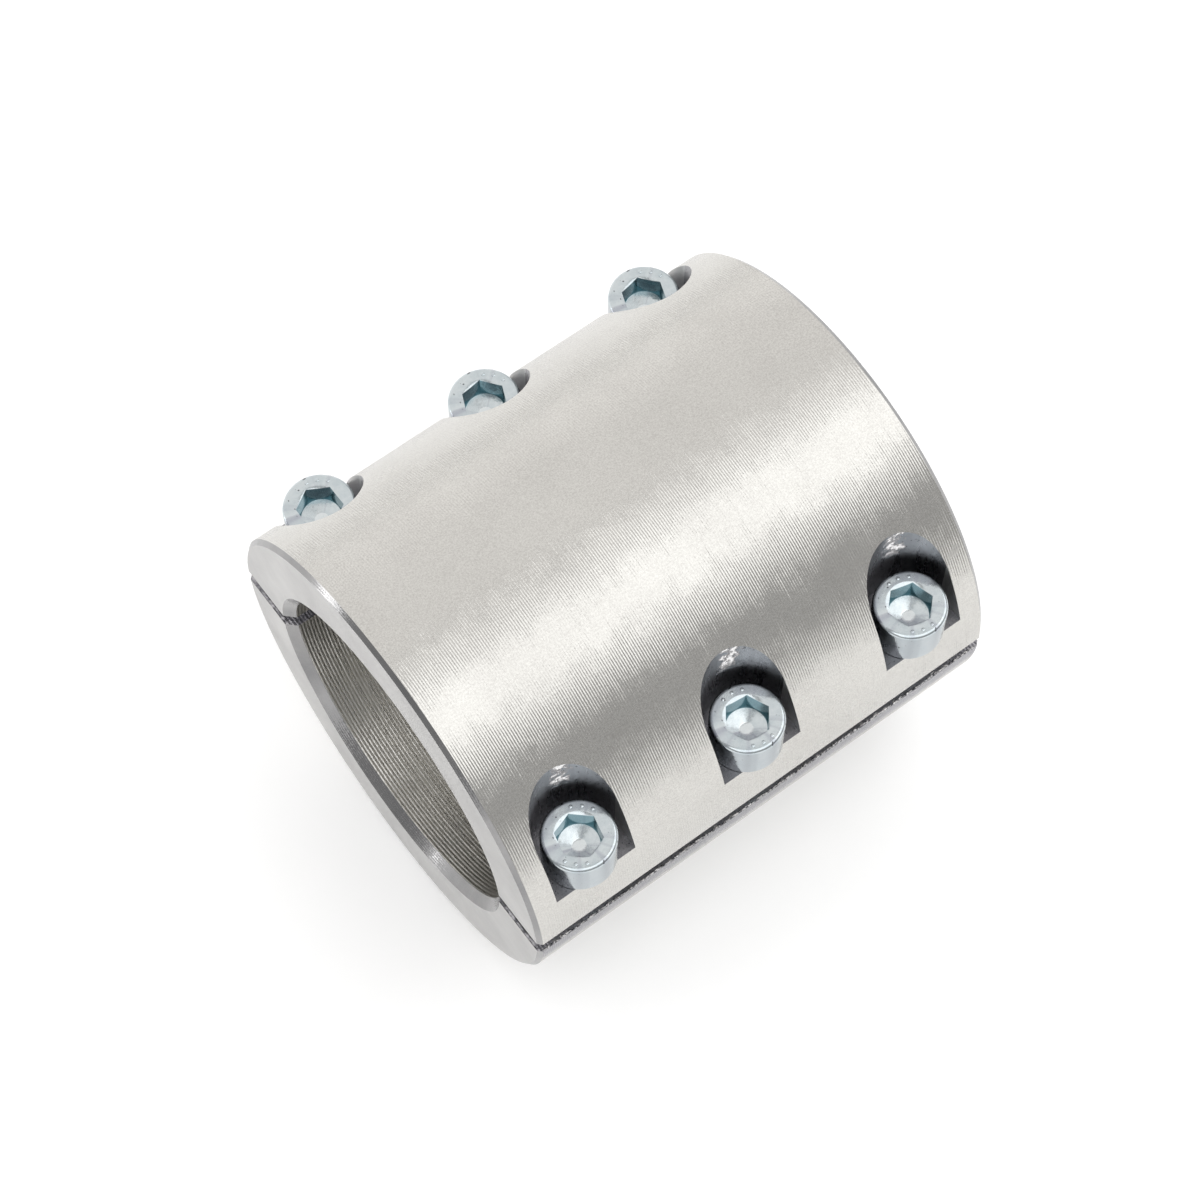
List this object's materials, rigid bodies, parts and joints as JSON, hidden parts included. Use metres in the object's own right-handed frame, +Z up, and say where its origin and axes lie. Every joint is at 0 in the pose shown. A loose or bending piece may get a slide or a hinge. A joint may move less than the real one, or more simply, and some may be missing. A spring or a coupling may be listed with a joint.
{
  "type": "split tube clamp",
  "caption": "Thick aluminium sleeve split lengthwise into half shells, which socket head cap screws in open slots along both sides pull together round a tube.",
  "frame": {"origin": "on the bore's axis, halfway along the clamp and in the middle of the split", "axes": "+X along the bore, from the left end to the right end; +Z up along the screws, from the lower half to the upper half; -Y towards the front row of screws"},
  "size_m": [0.1334, 0.122, 0.122],
  "materials": {
    "shells": "fine turned outside and ends, milled slots, sawn split faces",
    "screws": "bright zinc plated, slightly blue"
  },
  "bodies": {
    "lower_half": {"lower_half": "shells"},
    "upper_half": {"upper_half": "shells"},
    "screw_front_left": {"screw_front_left": "screws"},
    "screw_front_middle": {"screw_front_middle": "screws"},
    "screw_front_right": {"screw_front_right": "screws"},
    "screw_rear_left": {"screw_rear_left": "screws"},
    "screw_rear_middle": {"screw_rear_middle": "screws"},
    "screw_rear_right": {"screw_rear_right": "screws"}
  },
  "joints": [
    {"name": "upper_half_lift", "type": "slide", "parent": "lower_half", "child": "upper_half", "axis": [0, 0, 1], "range_m": [0, 0.0105]},
    {"name": "screw_front_left_turn", "type": "hinge", "parent": "upper_half", "child": "screw_front_left", "pos_m": [-0.0485, -0.052, 0.01675], "axis": [0, 0, 1], "range_deg": [0, 2160]},
    {"name": "screw_front_middle_turn", "type": "hinge", "parent": "upper_half", "child": "screw_front_middle", "pos_m": [0, -0.052, 0.01675], "axis": [0, 0, 1], "range_deg": [0, 2160]},
    {"name": "screw_front_right_turn", "type": "hinge", "parent": "upper_half", "child": "screw_front_right", "pos_m": [0.0485, -0.052, 0.01675], "axis": [0, 0, 1], "range_deg": [0, 2160]},
    {"name": "screw_rear_left_turn", "type": "hinge", "parent": "upper_half", "child": "screw_rear_left", "pos_m": [-0.0485, 0.052, 0.01675], "axis": [0, 0, 1], "range_deg": [0, 2160]},
    {"name": "screw_rear_middle_turn", "type": "hinge", "parent": "upper_half", "child": "screw_rear_middle", "pos_m": [0, 0.052, 0.01675], "axis": [0, 0, 1], "range_deg": [0, 2160]},
    {"name": "screw_rear_right_turn", "type": "hinge", "parent": "upper_half", "child": "screw_rear_right", "pos_m": [0.0485, 0.052, 0.01675], "axis": [0, 0, 1], "range_deg": [0, 2160]}
  ],
  "couplings": [
    {"joint": "screw_front_left_turn", "follows": "upper_half_lift", "rad_per_m": 3590.4},
    {"joint": "screw_front_middle_turn", "follows": "upper_half_lift", "rad_per_m": 3590.4},
    {"joint": "screw_front_right_turn", "follows": "upper_half_lift", "rad_per_m": 3590.4},
    {"joint": "screw_rear_left_turn", "follows": "upper_half_lift", "rad_per_m": 3590.4},
    {"joint": "screw_rear_middle_turn", "follows": "upper_half_lift", "rad_per_m": 3590.4},
    {"joint": "screw_rear_right_turn", "follows": "upper_half_lift", "rad_per_m": 3590.4}
  ]
}
